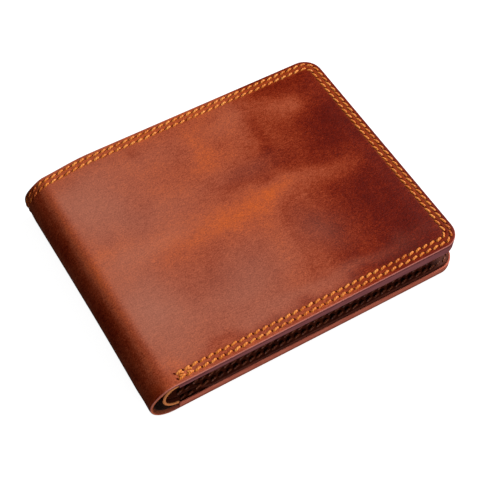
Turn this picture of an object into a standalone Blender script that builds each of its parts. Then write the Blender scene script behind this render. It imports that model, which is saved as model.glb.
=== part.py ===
"""A leather wallet with three leaves, closed and lying on its back cover.

Metres, +Z up. X runs across the wallet from the folded spine (-X) to the open edge (+X), Y runs
from the edge where the pockets end (-Y) to the edge where the bill compartment opens (+Y), and
Z = 0 is the table. One outer shell folds round the spine. The third leaf is a flap between the two
covers, hinged by a leather strip beside the spine. The spine bends at three lines, so its leather,
lining and divider are each two rigid strips between the two leaves.
"""

import math

import bmesh
import bpy

# Overall size
WIDTH = 0.115
HEIGHT = 0.092
THICKNESS = 0.016
CORNER_RADIUS = 0.0065

# Layers, each kept a small gap from the next
COVER = 0.0012
LINING = 0.0003
DIVIDER = 0.0007
POCKET = 0.0004
LAYER_GAP = 0.0002
FRONT_BILL_SPACE = 0.0008
JOINT_GAP = 0.0003

# Card pockets, three on each leaf, each lower than the one behind it
POCKET_COUNT = 3
POCKET_SPINE_EDGE = -0.042
FIRST_POCKET_TOP = 0.030
POCKET_STEP = 0.016

# Spine: the bend lines, counted round from the back leaf
SPINE_STRIPS = 2
STRIP_ANGLE = math.radians(60)
FIRST_BEND = STRIP_ANGLE / 2
DIVIDER_APEX = 0.00375

# Seams: two rows of thread in grooves
ROW_INSETS = {"outer": 0.0017, "inner": 0.0037}
THREAD_RADIUS = 0.00025
THREAD_DEPTH = 0.00027
GROOVE_RADIUS = 0.00055
SEAM_START = -0.0475

# Flap, the third leaf
FLAP_SPINE_EDGE = -0.045
FLAP_SETBACK = 0.007
FLAP_CORNER = 0.005
FLAP_POCKET_TOPS = (0.018, 0.002)
FLAP_BOTTOM = 0.0058
FLAP_BACKING = 0.0005
FLAP_FRAME = 0.0010
WINDOW_FILM = 0.0003
WINDOW_SIZE = (0.072, 0.052)
WINDOW_OVERLAP = 0.004
WINDOW_CENTRE_X = 0.005
FLAP_SEAM_INSET = 0.0025
FLAP_SEAM_THREAD = 0.0002
FLAP_SEAM_DEPTH = 0.00022
FLAP_SEAM_GROOVE = 0.0005
STRIP_LENGTH = 0.070
STRIP_THICKNESS = 0.0006
STRIP_FOOT = 0.0022
STRIP_TAIL = 0.0080

# Worked out from the above
FREE_EDGE = WIDTH / 2
HALF_HEIGHT = HEIGHT / 2
SPINE_RADIUS = THICKNESS / 2
SPINE_X = -WIDTH / 2 + SPINE_RADIUS
SPINE_Z = SPINE_RADIUS
LINING_RADIUS = SPINE_RADIUS - COVER - LAYER_GAP
BACK_DIVIDER_Z = COVER + LAYER_GAP + LINING + LAYER_GAP
FRONT_DIVIDER_TOP = THICKNESS - BACK_DIVIDER_Z - FRONT_BILL_SPACE + LAYER_GAP
DIVIDER_RADIUS = (FRONT_DIVIDER_TOP - BACK_DIVIDER_Z) / 2
DIVIDER_X = -WIDTH / 2 + DIVIDER_APEX + DIVIDER_RADIUS
DIVIDER_Z = BACK_DIVIDER_Z + DIVIDER_RADIUS
HALF_TURN = math.pi
ARC_STEP = math.radians(7.5)
CORNER_STEPS = 6

LEATHER = (0.33, 0.095, 0.040)
LEATHER_INSIDE = (0.42, 0.15, 0.065)
LINING_BROWN = (0.16, 0.060, 0.035)
THREAD_ORANGE = (0.75, 0.32, 0.07)
FILM_CLEAR = (0.85, 0.87, 0.86)


def clear_scene():
    for obj in list(bpy.data.objects):
        bpy.data.objects.remove(obj, do_unlink=True)


def new_collection(name):
    made = bpy.data.collections.new(name)
    bpy.context.scene.collection.children.link(made)
    return made


def add_material(obj, colour, roughness):
    made = bpy.data.materials.new(obj.name)
    made.use_nodes = True
    shader = made.node_tree.nodes["Principled BSDF"]
    shader.inputs["Base Color"].default_value = (*colour, 1)
    shader.inputs["Roughness"].default_value = roughness
    shader.inputs["Metallic"].default_value = 0
    obj.data.materials.append(made)


def add_spline(curve, points, cyclic):
    spline = curve.splines.new("POLY")
    spline.points.add(len(points) - 1)
    for target, point in zip(spline.points, points):
        target.co = (*point, 0, 1) if len(point) == 2 else (*point, 1)
    spline.use_cyclic_u = cyclic


def flat_outline(name, outlines, thickness):
    """A flat plate: closed outlines in X and Y, filled, with its thickness half above and half below."""
    curve = bpy.data.curves.new(name, "CURVE")
    curve.dimensions = "2D"
    curve.fill_mode = "BOTH"
    curve.extrude = thickness / 2
    for outline in outlines:
        add_spline(curve, outline, True)
    return bpy.data.objects.new(name, curve)


def tube(name, points, radius):
    """A round rod of this radius through the points, with closed ends."""
    curve = bpy.data.curves.new(name, "CURVE")
    curve.dimensions = "3D"
    curve.bevel_depth = radius
    curve.bevel_resolution = 2
    curve.use_fill_caps = True
    add_spline(curve, points, False)
    return bpy.data.objects.new(name, curve)


def meshed(obj, collection):
    """The curve object as a mesh object with its caps welded, in this collection."""
    collection.objects.link(obj)
    graph = bpy.context.evaluated_depsgraph_get()
    mesh = bpy.data.meshes.new_from_object(obj.evaluated_get(graph))
    shape = bmesh.new()
    shape.from_mesh(mesh)
    bmesh.ops.remove_doubles(shape, verts=shape.verts, dist=1e-7)
    bmesh.ops.recalc_face_normals(shape, faces=shape.faces)
    shape.to_mesh(mesh)
    shape.free()
    name, matrix = obj.name, obj.matrix_world.copy()
    bpy.data.objects.remove(obj, do_unlink=True)
    made = bpy.data.objects.new(name, mesh)
    made.matrix_world = matrix
    collection.objects.link(made)
    return made


def cutter(obj):
    made = meshed(obj, cutters)
    made.hide_render = True
    made.display_type = "WIRE"
    return made


def cut(obj, tool, operation):
    modifier = obj.modifiers.new(tool.name, "BOOLEAN")
    modifier.operation = operation
    modifier.object = tool


def attach(obj, axis_empty):
    """Parents a piece to the empty on its joint's axis, leaving it where it is."""
    obj.parent = axis_empty
    obj.location = obj.location - axis_empty.location


def arc(centre, radius, start, end):
    """Points in X and Z round a spine centre. Angle 0 is straight down and a half turn is straight up."""
    steps = max(2, round(abs(end - start) / ARC_STEP))
    angles = [start + (end - start) * i / steps for i in range(steps + 1)]
    return [(centre[0] - radius * math.sin(a), centre[1] - radius * math.cos(a)) for a in angles]


def corner(centre_x, centre_y, radius, start):
    """A quarter of a circle in X and Y, turning left from this angle."""
    angles = [start + math.pi / 2 * i / CORNER_STEPS for i in range(CORNER_STEPS + 1)]
    return [(centre_x + radius * math.cos(a), centre_y + radius * math.sin(a)) for a in angles]


def leaf_outline(spine_edge, free_edge, bottom, top, bottom_radius, top_radius):
    """A panel with rounded corners along its free edge, square at the spine. Radius 0 is a square corner."""
    points = [(spine_edge, bottom)]
    if bottom_radius:
        points += corner(free_edge - bottom_radius, bottom + bottom_radius, bottom_radius, -math.pi / 2)
    else:
        points.append((free_edge, bottom))
    if top_radius:
        points += corner(free_edge - top_radius, top - top_radius, top_radius, 0)
    else:
        points.append((free_edge, top))
    points.append((spine_edge, top))
    return points


def rounded_outline(x_min, x_max, half_height, radius):
    return (
        corner(x_max - radius, -half_height + radius, radius, -math.pi / 2)
        + corner(x_max - radius, half_height - radius, radius, 0)
        + corner(x_min + radius, half_height - radius, radius, math.pi / 2)
        + corner(x_min + radius, -half_height + radius, radius, math.pi)
    )


def standing_profile(name, points, length):
    """A profile in X and Z, extruded along Y by this length."""
    obj = flat_outline(name, [points], length)
    obj.rotation_euler = (math.pi / 2, 0, 0)
    return obj


def leaf_sheet(name, centre, radius, thickness, front):
    """A flat layer of a leaf with its curved lip, which reaches round the spine to the first bend."""
    lip = FIRST_BEND - JOINT_GAP / 2 / radius
    outer = arc(centre, radius, 0, lip)
    inner = arc(centre, radius - thickness, lip, 0)
    low = centre[1] - radius
    profile = [(FREE_EDGE, low), *outer, *inner, (FREE_EDGE, low + thickness)]
    if front:
        profile = [(x, 2 * centre[1] - z) for x, z in reversed(profile)]
    obj = meshed(standing_profile(name, profile, HEIGHT), wallet)
    cut(obj, leaf_trim, "INTERSECT")
    return obj


def strip_angles(index, radius):
    """Where a spine strip starts and ends, half a joint gap inside its two bend lines."""
    margin = JOINT_GAP / 2 / radius
    start = FIRST_BEND + index * STRIP_ANGLE
    return start + margin, start + STRIP_ANGLE - margin


def spine_strip(name, index, centre, radius, thickness):
    start, end = strip_angles(index, radius)
    outer = arc(centre, radius, start, end)
    inner = arc(centre, radius - thickness, end, start)
    return meshed(standing_profile(name, outer + inner, HEIGHT), wallet)


def seam_on_leaf(inset, front, overrun):
    """The line of a thread row on a cover: along the pocket edge, round the free edge, and back to the spine."""
    side = HALF_HEIGHT - inset
    radius = CORNER_RADIUS - inset
    x = FREE_EDGE - CORNER_RADIUS
    y = HALF_HEIGHT - CORNER_RADIUS
    depth = THREAD_DEPTH
    flat = [(SEAM_START, -side)]
    flat += corner(x, -y, radius, -math.pi / 2)
    flat += corner(x, y, radius, 0)
    path = [(px, py, depth) for px, py in flat]
    lip_end = FIRST_BEND - (JOINT_GAP / 2 - overrun) / SPINE_RADIUS
    lip = arc((SPINE_X, SPINE_Z), SPINE_RADIUS - depth, 0, lip_end)
    path += [(px, side, pz) for px, pz in lip]
    return [(px, py, THICKNESS - pz) for px, py, pz in path] if front else path


def seam_on_strip(index, inset, overrun):
    start, end = strip_angles(index, SPINE_RADIUS)
    extra = overrun / SPINE_RADIUS
    turn = arc((SPINE_X, SPINE_Z), SPINE_RADIUS - THREAD_DEPTH, start - extra, end + extra)
    return [(x, HALF_HEIGHT - inset, z) for x, z in turn]


def add_leaf(side, front):
    """One leaf: cover leather, its lining, the bill divider, the card pockets and two rows of thread."""
    cover = leaf_sheet(f"{side}_cover_leather", spine_centre, SPINE_RADIUS, COVER, front)
    lining = leaf_sheet(f"{side}_cover_lining", spine_centre, LINING_RADIUS, LINING, front)
    divider = leaf_sheet(f"{side}_bill_divider", divider_centre, DIVIDER_RADIUS, DIVIDER, front)
    add_material(cover, LEATHER, 0.55)
    add_material(lining, LINING_BROWN, 0.85)
    add_material(divider, LEATHER_INSIDE, 0.7)
    pieces = [cover, lining, divider]
    for row, inset in ROW_INSETS.items():
        groove = tube(f"{side}_groove_{row}", seam_on_leaf(inset, front, JOINT_GAP), GROOVE_RADIUS)
        cut(cover, cutter(groove), "DIFFERENCE")
        thread = tube(f"{side}_thread_{row}", seam_on_leaf(inset, front, 0), THREAD_RADIUS)
        wallet.objects.link(thread)
        add_material(thread, THREAD_ORANGE, 0.6)
        pieces.append(thread)
    for number in range(1, POCKET_COUNT + 1):
        top = FIRST_POCKET_TOP - (number - 1) * POCKET_STEP
        outline = leaf_outline(POCKET_SPINE_EDGE, FREE_EDGE, -HALF_HEIGHT, top, CORNER_RADIUS, 0)
        pocket = flat_outline(f"{side}_card_pocket_{number}", [outline], POCKET)
        stack = number * LAYER_GAP + (number - 0.5) * POCKET
        if front:
            pocket.location.z = FRONT_DIVIDER_TOP - DIVIDER - stack
        else:
            pocket.location.z = BACK_DIVIDER_Z + DIVIDER + stack
        wallet.objects.link(pocket)
        add_material(pocket, LEATHER_INSIDE, 0.6)
        pieces.append(pocket)
    return pieces


def add_spine_strip(index):
    """One strip between two bend lines: cover leather, lining, divider and its two bits of thread."""
    number = index + 1
    leather = spine_strip(f"spine_leather_{number}", index, spine_centre, SPINE_RADIUS, COVER)
    lining = spine_strip(f"spine_lining_{number}", index, spine_centre, LINING_RADIUS, LINING)
    divider = spine_strip(f"spine_divider_{number}", index, divider_centre, DIVIDER_RADIUS, DIVIDER)
    add_material(leather, LEATHER, 0.55)
    add_material(lining, LINING_BROWN, 0.85)
    add_material(divider, LEATHER_INSIDE, 0.7)
    pieces = [leather, lining, divider]
    for row, inset in ROW_INSETS.items():
        groove = tube(f"spine_groove_{row}_{number}", seam_on_strip(index, inset, JOINT_GAP), GROOVE_RADIUS)
        cut(leather, cutter(groove), "DIFFERENCE")
        thread = tube(f"spine_thread_{row}_{number}", seam_on_strip(index, inset, 0), THREAD_RADIUS)
        wallet.objects.link(thread)
        add_material(thread, THREAD_ORANGE, 0.6)
        pieces.append(thread)
    return pieces


def add_flap_plate(name, outlines, thickness, bottom, colour, roughness):
    plate = flat_outline(name, outlines, thickness)
    plate.location.z = bottom + thickness / 2
    wallet.objects.link(plate)
    add_material(plate, colour, roughness)
    return plate


def add_flap():
    """The third leaf, from its card pockets below to its window frame on top."""
    half = HALF_HEIGHT - FLAP_SETBACK
    free = FREE_EDGE - FLAP_SETBACK
    outline = leaf_outline(FLAP_SPINE_EDGE, free, -half, half, FLAP_CORNER, FLAP_CORNER)
    pieces = []
    bottom = FLAP_BOTTOM
    for number in range(len(FLAP_POCKET_TOPS), 0, -1):
        top = FLAP_POCKET_TOPS[number - 1]
        pocket_outline = leaf_outline(FLAP_SPINE_EDGE, free, -half, top, FLAP_CORNER, 0)
        name = f"flap_card_pocket_{number}"
        pieces.append(add_flap_plate(name, [pocket_outline], POCKET, bottom, LEATHER_INSIDE, 0.6))
        bottom += POCKET + LAYER_GAP
    pieces.append(add_flap_plate("flap_backing", [outline], FLAP_BACKING, bottom, LEATHER, 0.65))
    bottom += FLAP_BACKING + LAYER_GAP

    film_half = (WINDOW_SIZE[0] / 2 + WINDOW_OVERLAP, WINDOW_SIZE[1] / 2 + WINDOW_OVERLAP)
    film_left = WINDOW_CENTRE_X - film_half[0]
    film_right = WINDOW_CENTRE_X + film_half[0]
    film = rounded_outline(film_left, film_right, film_half[1], WINDOW_OVERLAP)
    film_bottom = bottom + (STRIP_THICKNESS - WINDOW_FILM) / 2
    pieces.append(add_flap_plate("flap_window", [film], WINDOW_FILM, film_bottom, FILM_CLEAR, 0.1))

    strip_middle = bottom + STRIP_THICKNESS / 2
    bottom += STRIP_THICKNESS + LAYER_GAP
    opening = rounded_outline(
        WINDOW_CENTRE_X - WINDOW_SIZE[0] / 2,
        WINDOW_CENTRE_X + WINDOW_SIZE[0] / 2,
        WINDOW_SIZE[1] / 2,
        WINDOW_OVERLAP,
    )
    frame = flat_outline("flap_frame", [outline, opening], FLAP_FRAME)
    frame.location.z = bottom + FLAP_FRAME / 2
    frame = meshed(frame, wallet)
    add_material(frame, LEATHER, 0.55)
    pieces.append(frame)

    seam_side = half - FLAP_SEAM_INSET
    seam_radius = FLAP_CORNER - FLAP_SEAM_INSET
    seam = [(FLAP_SPINE_EDGE + FLAP_SEAM_INSET, -seam_side)]
    seam += corner(free - FLAP_CORNER, -half + FLAP_CORNER, seam_radius, -math.pi / 2)
    seam += corner(free - FLAP_CORNER, half - FLAP_CORNER, seam_radius, 0)
    seam.append((FLAP_SPINE_EDGE + FLAP_SEAM_INSET, seam_side))
    seam_z = bottom + FLAP_FRAME - FLAP_SEAM_DEPTH
    path = [(x, y, seam_z) for x, y in seam]
    cut(frame, cutter(tube("flap_groove", path, FLAP_SEAM_GROOVE)), "DIFFERENCE")
    thread = tube("flap_thread", path, FLAP_SEAM_THREAD)
    wallet.objects.link(thread)
    add_material(thread, THREAD_ORANGE, 0.6)
    pieces.append(thread)
    return pieces, strip_middle


def add_hinge_strip(strip_middle):
    """The leather strip that carries the flap: a foot on the back leaf, a half-round bend, a tail in the flap."""
    foot_middle = BACK_DIVIDER_Z + DIVIDER + LAYER_GAP + STRIP_THICKNESS / 2
    bend_radius = (strip_middle - foot_middle) / 2
    centre = (FLAP_SPINE_EDGE, foot_middle + bend_radius)
    outer = bend_radius + STRIP_THICKNESS / 2
    inner = bend_radius - STRIP_THICKNESS / 2
    margin = JOINT_GAP / 2 / inner
    quarter = HALF_TURN / 2
    low = centre[1] - outer
    high = centre[1] + outer
    foot_end = FLAP_SPINE_EDGE + STRIP_FOOT
    lower = [(foot_end, low), *arc(centre, outer, 0, quarter - margin)]
    lower += [*arc(centre, inner, quarter - margin, 0), (foot_end, low + STRIP_THICKNESS)]
    tail_end = FLAP_SPINE_EDGE + STRIP_TAIL
    upper = [(tail_end, high - STRIP_THICKNESS), *arc(centre, inner, HALF_TURN, quarter + margin)]
    upper += [*arc(centre, outer, quarter + margin, HALF_TURN), (tail_end, high)]
    pieces = []
    for name, profile in (("flap_hinge_strip_lower", lower), ("flap_hinge_strip_upper", upper)):
        strip = meshed(standing_profile(name, profile, STRIP_LENGTH), wallet)
        add_material(strip, LEATHER_INSIDE, 0.6)
        pieces.append(strip)
    axis = (centre[0] - outer, 0, centre[1])
    return pieces, axis


def axis_empty(name, location):
    empty = bpy.data.objects.new(name, None)
    empty.location = location
    wallet.objects.link(empty)
    return empty


clear_scene()
wallet = new_collection("three_leaf_wallet")
cutters = new_collection("cutters")
spine_centre = (SPINE_X, SPINE_Z)
divider_centre = (DIVIDER_X, DIVIDER_Z)
trim_outline = leaf_outline(-WIDTH, FREE_EDGE, -HALF_HEIGHT, HALF_HEIGHT, CORNER_RADIUS, CORNER_RADIUS)
leaf_trim = cutter(flat_outline("leaf_trim", [trim_outline], 4 * THICKNESS))

add_leaf("back", False)
front_pieces = add_leaf("front", True)
for strip in range(SPINE_STRIPS + 1):
    angle = FIRST_BEND + strip * STRIP_ANGLE
    x = SPINE_X - SPINE_RADIUS * math.sin(angle)
    z = SPINE_Z - SPINE_RADIUS * math.cos(angle)
    bend = axis_empty(f"bend_axis_{strip + 1}", (x, 0, z))
    moved = add_spine_strip(strip) if strip < SPINE_STRIPS else front_pieces
    for piece in moved:
        attach(piece, bend)

flap_pieces, strip_middle = add_flap()
strip_pieces, flap_axis = add_hinge_strip(strip_middle)
flap_empty = axis_empty("flap_axis", flap_axis)
for piece in flap_pieces + strip_pieces[1:]:
    attach(piece, flap_empty)
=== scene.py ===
"""The looks of the folded wallet: waxed leather shell, burnished edges, sewn seams and everything inside.

Metres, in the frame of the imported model. Every sheet is drawn flat first, as places (s, y, depth) on the
leather, and then folded round the spine, so that its pattern and its seams run on without a break.
"""

import math

import bpy
import numpy as np
from mathutils import Matrix, Vector, noise


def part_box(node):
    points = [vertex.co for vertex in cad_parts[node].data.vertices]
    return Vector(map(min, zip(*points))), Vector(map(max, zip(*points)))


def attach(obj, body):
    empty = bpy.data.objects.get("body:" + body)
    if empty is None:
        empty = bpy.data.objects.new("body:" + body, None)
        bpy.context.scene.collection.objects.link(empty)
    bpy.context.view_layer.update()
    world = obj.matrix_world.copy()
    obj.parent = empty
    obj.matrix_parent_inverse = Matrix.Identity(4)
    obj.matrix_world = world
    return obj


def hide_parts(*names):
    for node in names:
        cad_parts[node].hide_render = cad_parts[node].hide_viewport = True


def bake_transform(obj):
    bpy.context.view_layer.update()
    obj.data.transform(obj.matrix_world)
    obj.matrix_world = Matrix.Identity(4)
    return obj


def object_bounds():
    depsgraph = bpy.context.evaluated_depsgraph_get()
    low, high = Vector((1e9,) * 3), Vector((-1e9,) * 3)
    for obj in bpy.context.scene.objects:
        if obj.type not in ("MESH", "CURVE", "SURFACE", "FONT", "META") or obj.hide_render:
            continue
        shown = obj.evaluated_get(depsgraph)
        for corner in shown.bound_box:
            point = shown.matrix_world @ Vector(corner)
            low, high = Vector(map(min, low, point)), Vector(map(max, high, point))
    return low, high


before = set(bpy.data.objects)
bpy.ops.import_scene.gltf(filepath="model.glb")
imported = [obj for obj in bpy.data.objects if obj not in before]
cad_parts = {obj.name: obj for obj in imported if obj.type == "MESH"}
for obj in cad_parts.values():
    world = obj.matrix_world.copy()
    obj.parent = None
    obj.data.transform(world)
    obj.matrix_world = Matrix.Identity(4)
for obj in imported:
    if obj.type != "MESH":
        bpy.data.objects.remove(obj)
cad_box = [[float(value) for value in corner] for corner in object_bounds()]

# The closed wallet, from the frame
LOW, HIGH = cad_box
THICKNESS = HIGH[2] - LOW[2]
HALF_HEIGHT = (HIGH[1] - LOW[1]) / 2
FREE_EDGE = HIGH[0]

# Leather layers
CORNER = 0.0065
COVER = 0.0012
LINING = 0.0003
LINING_DEPTH = 0.0015
LINING_INSET = 0.0009
DIVIDER = 0.0010
DIVIDER_SHIFT = 0.0004
LEAF_INSET = 0.0007
POCKET = 0.0004
POCKET_CORNER = 0.0063

# The sheets' edges, and the sizes of the meshes' faces
EDGE_ROUND = 0.00045
EDGE_ROUND_INSIDE = 0.0003
PAINTED_EDGE = 0.0006
PLATE_EDGE_ROUND = 0.00018
PLATE_BAND = 0.006
WHOLE_BAND_CORNER = 0.0062
FINE_STEP = 0.00035
COVER_STEP = 0.001
INNER_STEP = 0.002

# Seams
PITCH = 0.002751
ROWS = (0.0017, 0.0037)
SEAM_MIDDLE = 0.0027
SEAM_START_X = -0.0475
SEAM_SINK = 0.00013
SEAM_SINK_WIDTH = 0.00045
THREAD = 0.00044
THREAD_SLANT = 0.00027
THREAD_LIFT = 0.00034
THREAD_SINK = 0.00022
RUBBED_SINK = 0.00016
STITCH_GAP = 0.06
TACK_ASIDE = 0.00045

# The flap, and how far below a pocket's opening its edge is still creased
FLAP_CORNER = 0.005
FLAP_SEAM_INSET = 0.0025
FLAP_PITCH = 0.0024
STRIP = 0.0006
STRIP_ROUND = 0.00022
OPENING_BAND = 0.002
NO_CREASE = 0.02

# Camera, as set up for a long lens over the near corner
CAMERA_AZIMUTH = math.radians(-32.69)
CAMERA_ELEVATION = math.radians(55.74)
CAMERA_ROLL = math.radians(-2.33)
CAMERA_DISTANCE = 0.3808
CAMERA_TARGET = (-0.0057, -0.0104, 0.016)
CAMERA_LENS = 88.35

# How far each leaf's free end lies beyond the plain fold, along X and towards -Y
FRONT_SPREAD = 0.0003
BACK_SPREAD = 0.0006
BACK_SLIP = 0.0004

# How far the fold draws the sheets' far edge in, beside the spine
FAR_RETREAT = 0.0017


def rgb(red, green, blue):
    """An sRGB colour, 0 to 255, as linear values."""

    def channel(value):
        value /= 255
        return value / 12.92 if value <= 0.04045 else ((value + 0.055) / 1.055) ** 2.4

    return (channel(red), channel(green), channel(blue), 1)


# ---- where a sheet lies


class Fold:
    """A sheet's outer face: the back leaf, half a turn round the spine, then the front leaf.

    s runs along the sheet from the middle of the spine and is positive on the front leaf. depth goes from
    the sheet's outer face into the wallet.
    """

    def __init__(self, apex, low, high):
        self.radius = (high - low) / 2
        self.centre = (apex + self.radius, low + self.radius)
        self.half_arc = math.pi / 2 * self.radius

    def inner(self, depth):
        """The fold of a sheet that lies this deep."""
        reach = self.radius - depth
        return Fold(self.centre[0] - reach, self.centre[1] - reach, self.centre[1] + reach)

    def at_x(self, x):
        """s on the front leaf at this X."""
        return x - self.centre[0] + self.half_arc

    def turn(self, s):
        return math.pi / 2 + np.clip(s, -self.half_arc, self.half_arc) / self.radius

    def section(self, s, depth):
        """X and Z on the plain fold, and how far beyond the spine that is."""
        turn = self.turn(s)
        reach = self.radius - depth
        run = np.maximum(np.abs(s) - self.half_arc, 0)
        x = self.centre[0] - reach * np.sin(turn) + run
        z = self.centre[1] - reach * np.cos(turn)
        return x, z, run

    def place(self, s, y, depth):
        """The place in the closed wallet, with the leaves' spread and the drawn-in far edge."""
        x, z, run = self.section(s, depth)
        far = smooth(run, 0, FREE_EDGE - self.centre[0])
        x = x + far * np.where(s > 0, FRONT_SPREAD, BACK_SPREAD)
        retreat = FAR_RETREAT * smooth(y, 0.026, HALF_HEIGHT) * (1 - smooth(np.abs(s), 0.003, 0.030))
        return np.stack([x, y - retreat - far * np.where(s < 0, BACK_SLIP, 0), z], axis=-1)


class Level:
    """A flat sheet whose outer face is at this height. s is X, and up says which way it faces."""

    def __init__(self, height, up=1):
        self.height = height
        self.up = up

    def place(self, s, y, depth):
        return np.stack([s, y, self.height - self.up * depth], axis=-1)


class Seam:
    """The way round a sheet's edge: along -Y, round the free end, and back along +Y.

    A place is (along, inset). With a spine, the way goes on round it and back along the other leaf.
    """

    def __init__(self, start, end, half, corner, over_spine):
        self.start, self.end, self.half, self.corner = start, end, half, corner
        self.over_spine = over_spine
        self.sides = (end - corner - start, 2 * (half - corner))
        self.last = end - corner - (0 if over_spine else start)

    def length(self, inset):
        one = self.sides[0] + self.sides[1] + self.last + math.pi * (self.corner - inset)
        return 2 * one if self.over_spine else one

    def place(self, along, inset):
        """(s, y) there, and the direction (s, y) that points inward."""
        along = np.asarray(along, float)
        total = self.length(inset)
        mirrored = self.over_spine & (along > total / 2)
        way = np.where(mirrored, total - along, along)
        radius = self.corner - inset
        quarter = math.pi / 2 * radius
        marks = np.cumsum([self.sides[0], quarter, self.sides[1], quarter])
        end, half = self.end - self.corner, self.half - self.corner
        first, second = (np.clip((way - mark) / radius, 0, math.pi / 2) for mark in (marks[0], marks[2]))
        angle = first + second - math.pi / 2
        s = end + radius * np.cos(angle) - np.maximum(marks[0] - way, 0) - np.maximum(way - marks[3], 0)
        y = np.clip(way - marks[1], 0, 2 * half) - half + radius * np.sin(angle)
        sign = np.where(mirrored, -1, 1)
        return s * sign, y, -np.cos(angle) * sign, -np.sin(angle)


shell_fold = Fold(LOW[0], LOW[2], HIGH[2])
divider_fold = Fold(
    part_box("spine_divider_1")[0][0] + DIVIDER_SHIFT,
    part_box("back_bill_divider")[0][2],
    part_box("front_bill_divider")[1][2],
)
LEAF_END = shell_fold.at_x(FREE_EDGE)
SEAM_START = shell_fold.at_x(SEAM_START_X)
STACK_START = SEAM_START - 0.0004
shell_seam = Seam(SEAM_START, LEAF_END, HALF_HEIGHT, CORNER, True)


def smooth(value, low, high):
    share = np.clip((value - low) / (high - low), 0, 1)
    return share * share * (3 - 2 * share)


def bump_of(value, width):
    return np.exp(-((value / width) ** 2))


def pocket_faces(side):
    """The depth beside this leaf's card pockets, and (top edge, depth of the inner face) of each."""
    outer = HIGH[2] if side == "front" else LOW[2]
    faces = []
    for number in (1, 2, 3):
        low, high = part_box(f"{side}_card_pocket_{number}")
        near, far = sorted((abs(outer - low[2]), abs(outer - high[2])))
        faces.append((high[1], far))
        if number == 1:
            bare = near
    return bare, faces


STACKS = {side: pocket_faces(side) for side in ("front", "back")}
POCKET_START = shell_fold.at_x(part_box("front_card_pocket_1")[0][0])

# Share of the inner layers that the burnished edge covers, at the seam's start and at the free end
EDGE_SHARES = {"front": (0.42, 0.95), "back": (0.60, 0.62)}


def stack_depth(side, y):
    """How deep the sewn layers of this leaf are at this place along the free edge."""
    bare, faces = STACKS[side]
    depth = bare + 0 * y
    for top, face in faces:
        depth = np.where(y < top, face, depth)
    return depth


# ---- the relief of the shell


def waves(s, y, size, seed):
    """Smooth noise from -1 to 1, with bumps of about this size."""
    return np.array([noise.noise(Vector((a / size, b / size, seed))) for a, b in zip(s, y)])


def spine_pull(s, y):
    """The spine's ends flare out a little, and its upper part sags."""
    turn = shell_fold.turn(s)
    flare = np.where(y < 0, 0.0007, 0.0002) * (y / HALF_HEIGHT) ** 2 * np.sin(turn) ** 2
    sag = 0.0004 + 0.0002 * smooth(y, 0, HALF_HEIGHT)
    sag = sag * bump_of(turn - math.radians(140), math.radians(26))
    beside = bump_of(s - shell_fold.half_arc - 0.001, 0.009) * smooth(s, -0.004, 0.012)
    return sag + 0.0005 * smooth(y, 0.020, HALF_HEIGHT) * beside - flare


def cover_relief(s, y, inset):
    """How far the cover's outer face lies below its plain surface."""
    rows = sum(bump_of(inset - row, SEAM_SINK_WIDTH) for row in ROWS)
    sewn = 1 - smooth((SEAM_START - np.abs(s)) * (y < 0), 0, 0.003)
    rim = 0.00010 * (1 - smooth(inset, 0.0003, 0.0013))
    pillow = 0.00022 * smooth(inset, 0.0040, 0.0100)
    rolling = 0.00010 * waves(s, y, 0.028, 1) * smooth(inset, 0.003, 0.012)
    return SEAM_SINK * rows * sewn + rim - pillow - rolling


# ---- building sheets


class Sheet:
    """A closed skin over a sheet: outer face, edge and inner face, as places on the leather."""

    def __init__(self):
        self.points = []
        self.faces = []
        self.known = {}

    def point(self, s, y, inset, depth, along, key=None):
        if key is not None:
            key = (key, round(s * 1e7), round(y * 1e7))
            if key in self.known:
                return self.known[key]
            self.known[key] = len(self.points)
        self.points.append((s, y, inset, depth, along))
        return len(self.points) - 1

    def face(self, *corners):
        kept = [c for i, c in enumerate(corners) if c != corners[i - 1]]
        if len(kept) > 2:
            self.faces.append(kept)


def rounded(radius, count):
    """(inset, depth) at this many places over an edge rounded with this radius."""
    angles = [math.pi / 2 * step / (count - 1) for step in range(count)]
    return [(radius * (1 - math.sin(angle)), radius * (1 - math.cos(angle))) for angle in angles]


def edge_profile(thickness, corner, cover):
    """(inset, depth) from the flat of the outer face, over the edge, to the flat of the inner face."""
    rings = [8, 6.8, 5.8, 5.0, 4.5, 4.2, 3.95, 3.7, 3.45, 3.2, 2.9, 2.5, 2.2, 1.95, 1.7, 1.45, 1.2, 0.9, 0.65]
    insets = [ring * corner / rings[0] for ring in rings]
    profile = [(inset, 0) for inset in insets if inset > EDGE_ROUND * 1.2]
    top = min(EDGE_ROUND, thickness * 0.45)
    under = min(EDGE_ROUND_INSIDE, thickness * 0.35)
    profile += rounded(top, 6)
    for share in (0.12, 0.25, 0.38, 0.5, 0.62, 0.75, 0.88):
        profile.append((0, top + share * (thickness - under - top)))
    profile += [(inset, thickness - rise) for rise, inset in rounded(under, 5)]
    profile.append((PAINTED_EDGE, thickness))
    profile += [(inset, cover) for inset in (PAINTED_EDGE * 1.25, corner / 4, corner / 2, corner)]
    return profile


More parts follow.
